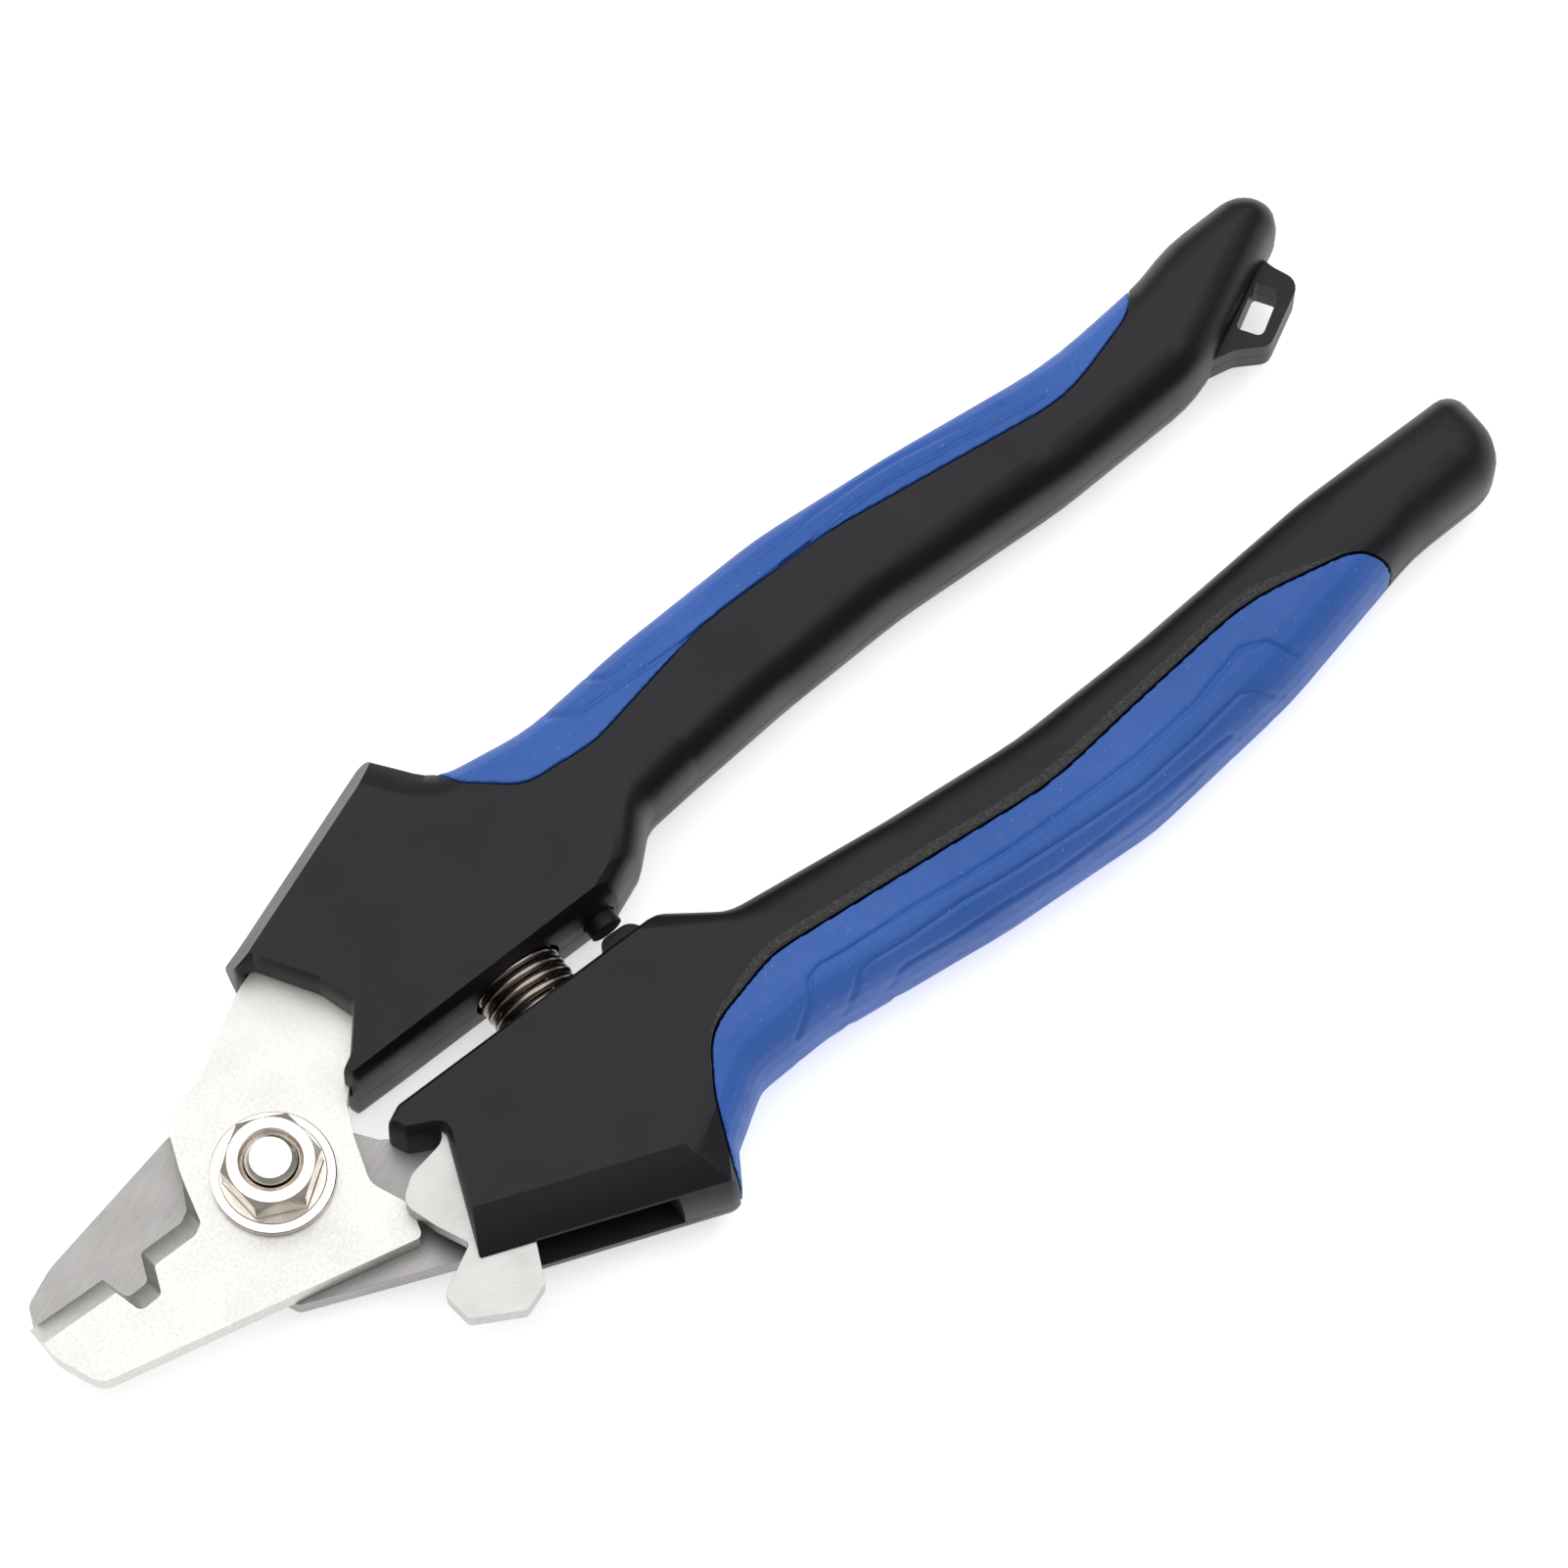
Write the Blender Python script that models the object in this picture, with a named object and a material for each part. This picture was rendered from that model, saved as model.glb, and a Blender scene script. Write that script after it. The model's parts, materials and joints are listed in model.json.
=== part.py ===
"""Spring-loaded plate nippers with a swinging safety lock, shown closed and locked.

Frame: origin on the blade pivot's axis, in the plane that the tool lies on. +X runs from the jaws
to the handles, +Y towards the upper handle, +Z from the bolt head to the nut.
Lengths and places below are in millimetres; MM turns them into the scene's metres.
"""

import math

import bmesh
import bpy
from mathutils import Matrix, Vector

MM = 0.001

# Heights of the layers above the resting plane
HANDLE_TOP = 16.0
HANDLE_MIDDLE = HANDLE_TOP / 2
SHEAR = 7.15            # the plane in which the blades slide on each other and the shells meet
PLAY = 0.1              # between two flat faces that slide or bear
GAP = 0.2               # between a piece and the pocket that holds it
BLADE = 3.2             # blade plate
BACK_BLADE = (SHEAR - PLAY / 2 - BLADE, SHEAR - PLAY / 2)
FRONT_BLADE = (SHEAR + PLAY / 2, SHEAR + PLAY / 2 + BLADE)
LEVER = (FRONT_BLADE[1] + GAP, FRONT_BLADE[1] + GAP + 2.7)
LEVER_ROOM_TOP = LEVER[1] + GAP

# Pivot: M6 bolt with a low hex head, plain washer and flange nut
BOLT_RADIUS = 3.0
PIVOT_HOLE_RADIUS = 3.2
HEX_ACROSS_FLATS = 10.0
HEAD = (0.0, 3.0)
WASHER = (3.05, BACK_BLADE[0] - 0.05)
WASHER_RADIUS = 6.25
FLANGE_RADIUS = 7.1
FLANGE_RIM = 0.7
NUT_BOTTOM = FRONT_BLADE[1] + PLAY
FLANGE_TOP = NUT_BOTTOM + 1.2
NUT_TOP = NUT_BOTTOM + 6.0
BOLT_TOP = NUT_TOP + 0.8
NUT_TURN = math.radians(36)

# Return spring, across the gap between the two housings
SPRING_X = 35.7
SPRING_RADIUS = 5.5
SPRING_WIRE = 1.2
SPRING_ENDS = (-8.4, 9.0)
SPRING_POCKETS = (-8.7, 9.3)
SPRING_POCKET_RADIUS = 5.9

# Lock lever
LOCK_PIVOT = (22.6, -7.0)
LOCK_PIN_RADIUS = 1.6
LOCK_PIN = (2.0, 14.4)
LOCK_SHOULDER_RADIUS = 3.3
LOCK_WASHER = (LEVER[0] - 0.4, LEVER[0] - 0.1)

# Handles
GRIP_SKIN = 2.0
BUMPER_PLACE = (47.2, HANDLE_MIDDLE)
BUMPER_RADIUS = 2.0
BUMPER_ENDS = (1.3, 5.0)
BUMPER_SOCKET_END = BUMPER_ENDS[1] + GAP
LIP_TOP = 1.0
TANG_PIN_RADIUS = 1.75
TANG_PIN = (2.4, 12.6)
TANG_PIN_CHAMFER = 0.3
LOWER_TANG_PINS = ((52.0, -14.5), (82.0, -17.0))
UPPER_TANG_PINS = ((54.0, 17.0), (84.0, 20.5))
LOOP = (4.4, 9.9)
ARC_STEP = math.radians(20)     # the widest step round a corner
ARC_SAG = 0.04                  # how far a chord may lie inside its arc

# Outlines, anticlockwise. Each corner is (x, y, radius).
FRONT_BLADE_OUTLINE = (
    (-31.8, -0.4, 0), (-31.6, -2.6, 4.0), (-29.3, -8.05, 2.5), (9.1, -15.75, 0.8), (9.9, -13.0, 1.0),
    (9.9, -11.2, 1.0), (8.1, -7.2, 2.5), (9.8, -1.8, 4.0), (11.4, 1.8, 0.6), (20.0, 10.2, 1.0),
    (46.0, 10.4, 2.0), (57.0, 15.6, 3.0), (92.0, 18.2, 1.5), (92.0, 23.6, 1.5), (50.0, 21.2, 8.0),
    (33.0, 28.6, 3.0), (9.5, 19.9, 4.0), (0.4, 14.2, 4.0), (-5.9, 12.4, 0.8), (-8.2, 6.4, 6.0),
    (-9.7, 0.4, 0.8), (-11.0, -0.4, 0.8), (-16.7, -0.5, 0.6), (-18.0, -3.7, 0.8),
    (-20.9, -3.9, 0.9), (-21.9, -0.5, 0),
)
FRONT_EDGE_CORNERS = (0, 20, 21, 22, 23, 24, 25)
BACK_BLADE_OUTLINE = (
    (-31.2, -0.3, 0), (-10.0, -1.5, 2.0), (-8.6, -8.0, 4.0), (-6.2, -13.0, 1.0), (11.6, -19.9, 6.0),
    (34.0, -22.8, 3.0), (50.0, -19.8, 6.0), (92.0, -19.4, 1.5), (92.0, -14.6, 1.5),
    (52.0, -9.8, 8.0), (28.6, -9.6, 1.0), (27.6, -3.7, 1.0), (13.6, -3.7, 0.8), (12.3, -2.9, 1.0),
    (10.4, -0.4, 1.0), (8.6, 6.0, 6.0), (3.0, 12.0, 5.0), (-6.3, 11.6, 6.0), (-25.9, 7.1, 6.0),
    (-30.4, 5.0, 1.6),
)
BACK_EDGE_CORNERS = (0, 1)
RELIEF = 3.0            # how far a cutting wall is set back at its blade's back face
LEVER_OUTLINE = (
    (17.2, -8.9, 2.0), (12.0, -9.9, 2.6), (9.1, -12.0, 1.8), (10.6, -16.4, 4.0), (12.4, -20.2, 0.6),
    (6.6, -23.4, 0.9), (7.1, -27.2, 0.9), (12.9, -30.3, 0.9), (16.3, -29.0, 0.9),
    (18.2, -24.9, 1.0), (21.2, -18.0, 6.0), (26.3, -9.0, 2.5), (26.3, -3.6, 3.4),
    (18.9, -3.6, 3.4),
)
LEVER_ROOM = (
    (4.0, -36.0, 0), (33.9, -36.0, 0), (33.9, -26.6, 1.5), (30.4, -18.0, 4.0), (27.4, -8.5, 2.0),
    (26.7, -3.1, 3.5), (18.5, -3.1, 2.5), (17.4, -8.3, 0.6), (4.0, -8.3, 0),
)

# Share of an edge's inset that is reached at each rise from a handle's middle to its face
RISES = (0.0, 2.0, 4.4, 5.8, 6.9, 7.6, 8.0)
ROUND = (0.0, 0.0, 0.085, 0.23, 0.43, 0.66, 1.0)
BEVEL = (0.0, 0.0, 0.09, 0.2, 0.5, 0.82, 1.0)

# Handle outlines. Each corner is (x, y, radius, inset, profile): the edge that starts there is set
# in by inset at the face, over that profile.
LOWER_HANDLE = (
    (11.7, -23.3, 0.9, 6.2, BEVEL), (40.3, -33.5, 1.6, 6.0, BEVEL), (43.6, -28.2, 1.5, 5.0, ROUND),
    (50.2, -23.8, 5.0, 5.0, ROUND), (60.2, -23.2, 18.0, 5.0, ROUND), (84.1, -25.4, 40.0, 5.0, ROUND),
    (104.8, -26.0, 26.0, 5.0, ROUND), (126.5, -23.1, 60.0, 5.0, ROUND),
    (148.7, -17.6, 25.0, 5.0, ROUND), (163.5, -17.0, 6.5, 5.0, ROUND),
    (162.9, -5.5, 3.0, 4.0, ROUND), (140.5, -5.9, 60.0, 4.0, ROUND), (113.8, -8.4, 60.0, 4.0, ROUND),
    (96.7, -9.2, 50.0, 4.0, ROUND), (78.6, -8.0, 50.0, 4.0, ROUND), (58.6, -6.0, 6.0, 3.0, ROUND),
    (52.6, -1.8, 3.0, 1.0, ROUND), (15.3, -2.55, 0.8, 0.8, BEVEL), (12.8, -3.8, 0.7, 0.6, BEVEL),
    (13.9, -6.2, 0.7, 0.6, BEVEL), (17.8, -8.1, 0.9, 0.7, BEVEL),
)
UPPER_HANDLE = (
    (13.2, 2.2, 0.6, 0.7, BEVEL), (20.0, 2.2, 0, 1.2, BEVEL), (50.1, 3.0, 1.6, 2.0, ROUND),
    (54.7, 5.0, 3.0, 3.0, ROUND), (58.6, 8.7, 4.0, 3.6, ROUND), (66.3, 9.6, 12.0, 4.0, ROUND),
    (80.2, 11.0, 60.0, 4.0, ROUND), (97.2, 12.0, 60.0, 4.0, ROUND), (120.0, 11.5, 60.0, 4.0, ROUND),
    (141.2, 12.8, 20.0, 3.8, ROUND), (161.2, 23.2, 4.0, 3.6, ROUND), (158.2, 28.6, 5.0, 3.6, ROUND),
    (147.4, 28.2, 20.0, 4.2, ROUND), (141.6, 26.6, 12.0, 4.8, ROUND),
    (127.7, 25.0, 50.0, 5.0, ROUND), (105.8, 27.0, 60.0, 5.0, ROUND), (87.8, 28.0, 50.0, 5.0, ROUND),
    (67.7, 26.8, 50.0, 5.0, ROUND), (53.2, 25.1, 25.0, 5.0, ROUND), (42.0, 26.5, 6.0, 4.8, BEVEL),
    (36.3, 33.8, 1.2, 0.4, BEVEL), (14.0, 25.0, 0, 0.4, BEVEL), (10.1, 23.6, 0.6, 0.4, BEVEL),
    (10.0, 21.0, 0.5, 0.4, BEVEL), (12.2, 20.6, 0.5, 0.4, BEVEL), (16.6, 13.8, 1.0, 0.4, BEVEL),
    (18.0, 9.5, 0.8, 0.4, BEVEL), (14.2, 4.9, 0.6, 0.3, BEVEL), (12.5, 3.9, 0.4, 0.3, BEVEL),
)
# The long front edge of the upper housing slants: it is cut back by this much at each face
SLANTED_EDGE = ((0.0, 19.45), (44.0, 36.97))
SLANTED_EDGE_DEPTH = 2.9
WEDGE_WIDTH = 8.0

# The handles without the fine front ends of their housings
LOWER_STEM = ((30.0, -29.8, 0, 6.2, BEVEL), *LOWER_HANDLE[1:17], (30.0, -2.25, 0, 0.0, BEVEL))
UPPER_STEM = ((30.0, 2.5, 0, 1.2, BEVEL), *UPPER_HANDLE[2:21], (30.0, 31.0, 0, 0.0, BEVEL))
LOWER_GRIP_AREA = (
    (41.2, -30.6, 0), (37.0, -45.0, 0), (150.0, -45.0, 0), (144.2, -19.4, 2.0),
    (141.0, -15.6, 6.0), (127.0, -13.0, 30.0), (109.0, -15.2, 30.0), (96.0, -17.0, 40.0),
    (59.0, -14.2, 14.0), (48.0, -17.2, 8.0), (44.0, -23.4, 14.0),
)
UPPER_GRIP_AREA = (
    (41.4, 28.6, 0), (43.0, 23.4, 4.0), (48.6, 18.6, 6.0), (58.0, 18.0, 12.0), (76.0, 22.0, 30.0),
    (94.0, 22.4, 40.0), (126.0, 19.0, 20.0), (139.0, 23.4, 12.0), (141.8, 29.0, 2.0),
    (141.8, 45.0, 0), (37.0, 45.0, 0),
)
LOOP_OUTLINE = (
    (154.0, 25.0, 0), (142.0, 16.0, 0), (142.6, 14.4, 0), (146.4, 13.7, 3.0), (150.0, 11.6, 1.6),
    (157.7, 15.9, 1.8), (156.3, 19.2, 2.2), (155.6, 22.5, 0),
)
LOOP_HOLE = ((148.2, 15.8, 0.5), (150.0, 13.1, 0.8), (155.2, 16.3, 0.8), (153.5, 18.9, 0.5))
LIP_OUTLINE = ((44.6, -4.0, 0), (52.6, -4.0, 0), (50.0, LIP_TOP, 2.0), (45.8, LIP_TOP, 1.2))


# ---------------------------------------------------------------- outlines

def left_of(direction):
    return Vector((-direction.y, direction.x))


def inset_corner(before, here, after, inset_in, inset_out):
    """The corner moved into an anticlockwise outline by inset_in and inset_out from its edges."""
    run_in = (here - before).normalized()
    run_out = (after - here).normalized()
    turn = run_in.cross(run_out)
    if abs(turn) < 0.3:
        middle = (left_of(run_in) + left_of(run_out)).normalized()
        reach = (inset_in + inset_out) / 2 / middle.dot(left_of(run_in))
        return here + middle * reach
    start = here + left_of(run_in) * inset_in
    across = here + left_of(run_out) * inset_out - start
    return start + run_in * (across.cross(run_out) / turn)


def arc_points(before, here, after, radius, steps):
    """The corner rounded with radius, as steps + 1 points, or the corner alone for no steps."""
    if steps == 0:
        return [here]
    run_in = here - before
    run_out = after - here
    angle = math.atan2(run_in.cross(run_out), run_in.dot(run_out))
    half = math.tan(abs(angle) / 2)
    room = 0.49 * min(run_in.length, run_out.length)
    tangent = min(radius * half, room)
    start = here - run_in.normalized() * tangent
    side = left_of(run_in.normalized()) * math.copysign(tangent / half, angle)
    centre = start + side
    spokes = (Matrix.Rotation(angle * i / steps, 2) @ (start - centre) for i in range(steps + 1))
    return [centre + spoke for spoke in spokes]


def arc_steps(turn, radius):
    """How many chords round a corner. A plain corner, of radius 0, has none."""
    if radius == 0:
        return 0
    widest = 2 * math.acos(max(1 - ARC_SAG / radius, -1))
    return math.ceil(abs(turn) / min(widest, ARC_STEP))


def ring(outline, insets, leaning=(), lean=(0.0, 0.0)):
    """The outline's points with each edge set in and the leaning corners moved by lean.

    The number of points depends on the outline alone, so any two of its rings can be joined.
    """
    corners = [Vector(corner[:2]) for corner in outline]
    count = len(corners)
    moved = [
        inset_corner(corners[i - 1], corners[i], corners[(i + 1) % count], insets[i - 1], insets[i])
        for i in range(count)
    ]
    for i in leaning:
        moved[i] += Vector(lean)
    points = []
    for i, corner in enumerate(outline):
        run_in = corners[i] - corners[i - 1]
        run_out = corners[(i + 1) % count] - corners[i]
        turn = math.atan2(run_in.cross(run_out), run_in.dot(run_out))
        steps = arc_steps(turn, corner[2])
        inset = (insets[i - 1] + insets[i]) / 2
        radius = max(corner[2] - math.copysign(inset, turn), 0.15)
        points += arc_points(moved[i - 1], moved[i], moved[(i + 1) % count], radius, steps)
    return points


def even_ring(outline, inset=0.0):
    return ring(outline, [inset] * len(outline))


# ---------------------------------------------------------------- solids

def solid(name, faces_maker):
    """An object whose mesh faces_maker fills, in millimetres, with its faces turned outwards."""
    mesh = bpy.data.meshes.new(name)
    shape = bmesh.new()
    faces_maker(shape)
    bmesh.ops.recalc_face_normals(shape, faces=shape.faces)
    bmesh.ops.scale(shape, vec=(MM, MM, MM), verts=shape.verts)
    shape.to_mesh(mesh)
    shape.free()
    piece = bpy.data.objects.new(name, mesh)
    bpy.context.scene.collection.objects.link(piece)
    return piece


def loft(name, levels):
    """A closed solid through rings of equal length, given as (height, points) from the bottom."""
    def fill(shape):
        rings = [[shape.verts.new((p.x, p.y, z)) for p in points] for z, points in levels]
        shape.faces.new(list(reversed(rings[0])))
        shape.faces.new(rings[-1])
        for low, high in zip(rings, rings[1:]):
            for i in range(len(low)):
                shape.faces.new((low[i - 1], low[i], high[i], high[i - 1]))
    return solid(name, fill)


def plate(name, outline, bottom, top, grow=0.0):
    points = even_ring(outline, -grow)
    return loft(name, ((bottom, points), (top, points)))


def circle(radius, sides, place=(0.0, 0.0), turn=0.0):
    angles = (turn + 2 * math.pi * i / sides for i in range(sides))
    return [Vector(place) + radius * Vector((math.cos(a), math.sin(a))) for a in angles]


def turned(name, steps, place=(0.0, 0.0), sides=32):
    """A solid of revolution about +Z through place, from (height, radius) steps."""
    return loft(name, [(z, circle(radius, sides, place)) for z, radius in steps])


def lying_cylinder(name, radius, x, z, ends, sides=32):
    """A cylinder about a line along Y."""
    def fill(shape):
        rings = [
            [shape.verts.new((x + p.x, y, z + p.y)) for p in circle(radius, sides)] for y in ends
        ]
        shape.faces.new(rings[0])
        shape.faces.new(list(reversed(rings[1])))
        for i in range(sides):
            shape.faces.new((rings[0][i - 1], rings[0][i], rings[1][i], rings[1][i - 1]))
    return solid(name, fill)


def helper(piece):
    piece.hide_render = True
    piece.display_type = "WIRE"
    return piece


def combine(piece, other, operation):
    modifier = piece.modifiers.new(f"{operation.lower()}_{other.name}", "BOOLEAN")
    modifier.operation = operation
    modifier.object = helper(other)
    return piece


def cut(piece, *cutters):
    for cutter in cutters:
        combine(piece, cutter, "DIFFERENCE")
    return piece


def drill(piece, name, place, radius, bottom, top, sides=24):
    return cut(piece, turned(name, ((bottom, radius), (top, radius)), place, sides))


# ---------------------------------------------------------------- finishes

def finish(name, colour, roughness, metallic):
    material = bpy.data.materials.new(name)
    material.use_nodes = True
    shader = material.node_tree.nodes["Principled BSDF"]
    shader.inputs["Base Color"].default_value = (*colour, 1.0)
    shader.inputs["Roughness"].default_value = roughness
    shader.inputs["Metallic"].default_value = metallic
    return material


def dress(piece, material):
    piece.data.materials.append(material)
    piece.data.shade_smooth()
    piece.data.set_sharp_from_angle(angle=math.radians(35))


def hold(piece, parent):
    """Parents the piece, without moving it, to an empty on its joint's axis."""
    piece.parent = parent
    piece.matrix_parent_inverse = Matrix.Translation(-parent.location)


def joint_empty(name, place):
    empty = bpy.data.objects.new(name, None)
    empty.location = Vector((*place, 0.0)) * MM
    bpy.context.scene.collection.objects.link(empty)
    return empty


# ---------------------------------------------------------------- blades and pivot

def blade(name, outline, edge_corners, layer):
    """A plate with its edge corners set back at its back face, which leaves a ground, sloping wall."""
    leans = ((0.0, RELIEF), (0.0, 0.0))
    rings = (ring(outline, [0.0] * len(outline), edge_corners, lean) for lean in leans)
    piece = loft(name, tuple(zip(layer, rings)))
    return drill(piece, f"{name}_pivot_hole", (0, 0), PIVOT_HOLE_RADIUS, -1, 20, sides=32)


def make_front_blade():
    piece = blade("front_blade", FRONT_BLADE_OUTLINE, FRONT_EDGE_CORNERS, FRONT_BLADE)
    for i, place in enumerate(UPPER_TANG_PINS, 1):
        drill(piece, f"front_tang_hole_{i}", place, TANG_PIN_RADIUS + GAP, -1, 20)
    return piece


def make_back_blade():
    piece = blade("back_blade", BACK_BLADE_OUTLINE, BACK_EDGE_CORNERS, BACK_BLADE)
    for i, place in enumerate(LOWER_TANG_PINS, 1):
        drill(piece, f"back_tang_hole_{i}", place, TANG_PIN_RADIUS + GAP, -1, 20)
    return drill(piece, "back_lock_hole", LOCK_PIVOT, LOCK_PIN_RADIUS + GAP, -1, 20)


def make_pivot_bolt():
    corner = HEX_ACROSS_FLATS / math.sqrt(3)
    head = loft("pivot_bolt", (
        (HEAD[0], circle(corner * 0.9, 6)), (HEAD[0] + 0.35, circle(corner, 6)),
        (HEAD[1], circle(corner, 6)),
    ))
    shank = turned("bolt_shank", (
        (HEAD[1] - 1, BOLT_RADIUS), (BOLT_TOP - 0.6, BOLT_RADIUS), (BOLT_TOP, BOLT_RADIUS - 0.6),
    ))
    return combine(head, shank, "UNION")


def make_washer(name, place, hole, radius, layer):
    return drill(turned(name, ((layer[0], radius), (layer[1], radius)), place, 40),
                 f"{name}_hole", place, hole, -1, 20, sides=32)


def make_pivot_nut():
    corner = HEX_ACROSS_FLATS / math.sqrt(3)
    body = turned("pivot_nut", (
        (NUT_BOTTOM, FLANGE_RADIUS), (NUT_BOTTOM + FLANGE_RIM, FLANGE_RADIUS),
        (FLANGE_TOP, FLANGE_RADIUS - 1.2),
    ), sides=48)
    hexagon = loft("nut_hexagon", (
        (NUT_BOTTOM + 0.4, circle(corner, 6, turn=NUT_TURN)),
        (NUT_TOP - 0.4, circle(corner, 6, turn=NUT_TURN)),
        (NUT_TOP, circle(corner * 0.9, 6, turn=NUT_TURN)),
    ))
    combine(body, hexagon, "UNION")
    return drill(body, "nut_bore", (0, 0), PIVOT_HOLE_RADIUS, -1, 20, sides=32)


# ---------------------------------------------------------------- handles

def handle_levels(outline, front, inner=0.0):
    """Rings of half a handle, from the shear plane out to its face, all moved inwards by inner."""
    half = HANDLE_MIDDLE - inner
    levels = []
    for level, rise in enumerate(RISES):
        insets = [inner + max(inset - inner, 0) * profile[level] for *_, inset, profile in outline]
        levels.append((rise * half / HANDLE_MIDDLE, ring(outline, insets)))
    if front:
        levels = [(HANDLE_MIDDLE + height, points) for height, points in levels]
        levels[0] = (SHEAR + PLAY / 2, levels[0][1])
        return levels
    levels = [(HANDLE_MIDDLE - height, points) for height, points in reversed(levels)]
    levels[-1] = (SHEAR - PLAY / 2, levels[-1][1])
    return levels


def whole_handle(name, outline, inner=0.0):
    back = handle_levels(outline, False, inner)
    front = handle_levels(outline, True, inner)
    return loft(name, back[:-1] + front[1:])


def make_grip(name, outline, stem, area):
    """The soft skin: the part of the handle inside area, hollowed to fit over the shells' core."""
    grip = plate(name, area, -2.0, HANDLE_TOP + 2.0)
    combine(grip, whole_handle(f"{name}_outside", outline), "INTERSECT")
    return cut(grip, whole_handle(f"{name}_inside", stem, GRIP_SKIN))


def make_shells(side, outline, stem, area):
    """Front and back half shells, with the rebate that the grip is moulded into."""
    rebate = plate(f"{side}_rebate", area, -2.0, HANDLE_TOP + 2.0, grow=GAP)
    cut(rebate, whole_handle(f"{side}_core", stem, GRIP_SKIN + GAP))
    front = loft(f"{side}_front_shell", handle_levels(outline, True))
    back = loft(f"{side}_back_shell", handle_levels(outline, False))
    return cut(front, rebate), cut(back, rebate)


def edge_slicer(name, face):
    """The wedge outside the slanted edge: its face runs from the handle's middle to this face."""
    start, end = (Vector(point) for point in SLANTED_EDGE)
    inwards = left_of((start - end).normalized())
    away = math.copysign(1, face - HANDLE_MIDDLE)
    levels = []
    for rise in (-0.1, HANDLE_MIDDLE + 1.0):
        depth = inwards * (SLANTED_EDGE_DEPTH * rise / HANDLE_MIDDLE)
        points = [end + depth, start + depth, start - inwards * WEDGE_WIDTH, end - inwards * WEDGE_WIDTH]
        levels.append((HANDLE_MIDDLE + away * rise, points))
    return loft(name, sorted(levels, key=lambda level: level[0]))


def cut_spring_pocket(shells, name, ends):
    pocket = lying_cylinder(name, SPRING_POCKET_RADIUS, SPRING_X, HANDLE_MIDDLE, ends)
    for shell in shells:
        cut(shell, pocket)


def make_tang_pins(side, places, shells):
    pins = []
    for i, place in enumerate(places, 1):
        low, high = TANG_PIN
        end = TANG_PIN_RADIUS - TANG_PIN_CHAMFER
        steps = ((low, end), (low + TANG_PIN_CHAMFER, TANG_PIN_RADIUS),
                 (high - TANG_PIN_CHAMFER, TANG_PIN_RADIUS), (high, end))
        pins.append(turned(f"{side}_tang_pin_{i}", steps, place, 20))
        hole = turned(f"{side}_pin_socket_{i}", (
            (low - GAP, TANG_PIN_RADIUS + GAP), (high + GAP, TANG_PIN_RADIUS + GAP),
        ), place, 24)
        for shell in shells:
            cut(shell, hole)
    return pins


def make_lower_shells():
    front, back = make_shells("lower", LOWER_HANDLE, LOWER_STEM, LOWER_GRIP_AREA)
    combine(back, plate("closing_lip", LIP_OUTLINE, 2.0, SHEAR - PLAY / 2), "UNION")
    cut(back, plate("back_tang_pocket", BACK_BLADE_OUTLINE, BACK_BLADE[0] - GAP, 9.0, grow=GAP))
    cut(front, plate("lever_room", LEVER_ROOM, 5.0, LEVER_ROOM_TOP))
    cut_spring_pocket((front, back), "lower_spring_pocket", (SPRING_POCKETS[0], 0.0))
    for shell in (front, back):
        drill(shell, f"{shell.name}_lock_socket", LOCK_PIVOT, LOCK_PIN_RADIUS + GAP,
              LOCK_PIN[0] - GAP, LOCK_PIN[1] + GAP)
    return front, back


def make_upper_shells():
    front, back = make_shells("upper", UPPER_HANDLE, UPPER_STEM, UPPER_GRIP_AREA)
    cut(front, edge_slicer("front_slicer", HANDLE_TOP))
    cut(back, edge_slicer("back_slicer", 0.0))
    combine(front, plate("front_loop", LOOP_OUTLINE, SHEAR + PLAY / 2, LOOP[1]), "UNION")
    combine(back, plate("back_loop", LOOP_OUTLINE, LOOP[0], SHEAR - PLAY / 2), "UNION")
    eye = plate("loop_hole", LOOP_HOLE, LOOP[0] - 1.0, LOOP[1] + 1.0)
    cut(front, plate("front_tang_pocket", FRONT_BLADE_OUTLINE, 5.0, FRONT_BLADE[1] + GAP, grow=GAP))
    cut_spring_pocket((front, back), "upper_spring_pocket", (0.0, SPRING_POCKETS[1]))
    socket = lying_cylinder("bumper_socket", BUMPER_RADIUS + GAP, *BUMPER_PLACE,
                            (0.0, BUMPER_SOCKET_END), 24)
    for shell in (front, back):
        cut(shell, eye, socket)
    return front, back


# ---------------------------------------------------------------- lock and spring

def make_lock_lever():
    lever = plate("lock_lever", LEVER_OUTLINE, *LEVER)
    return drill(lever, "lever_hole", LOCK_PIVOT, LOCK_PIN_RADIUS + GAP / 2, 5.0, 20.0)


def make_lock_pin():
    """A shouldered pin: the shoulder carries the lever above the back blade."""
    shoulder = (SHEAR, LOCK_WASHER[0] - 0.05)
    return turned("lock_pivot_pin", (
        (LOCK_PIN[0], LOCK_PIN_RADIUS), (shoulder[0], LOCK_PIN_RADIUS),
        (shoulder[0] + 0.01, LOCK_SHOULDER_RADIUS), (shoulder[1], LOCK_SHOULDER_RADIUS),
        (shoulder[1] + 0.01, LOCK_PIN_RADIUS), (LOCK_PIN[1], LOCK_PIN_RADIUS),
    ), LOCK_PIVOT, 24)


def make_return_spring():
    """The space that the closely wound coil fills, open along its axis."""
    tube = lying_cylinder("return_spring", SPRING_RADIUS, SPRING_X, HANDLE_MIDDLE, SPRING_ENDS)
    inner = SPRING_RADIUS - SPRING_WIRE
    return cut(tube, lying_cylinder("spring_inside", inner, SPRING_X, HANDLE_MIDDLE, (-20, 20)))


# ---------------------------------------------------------------- the whole tool

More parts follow.
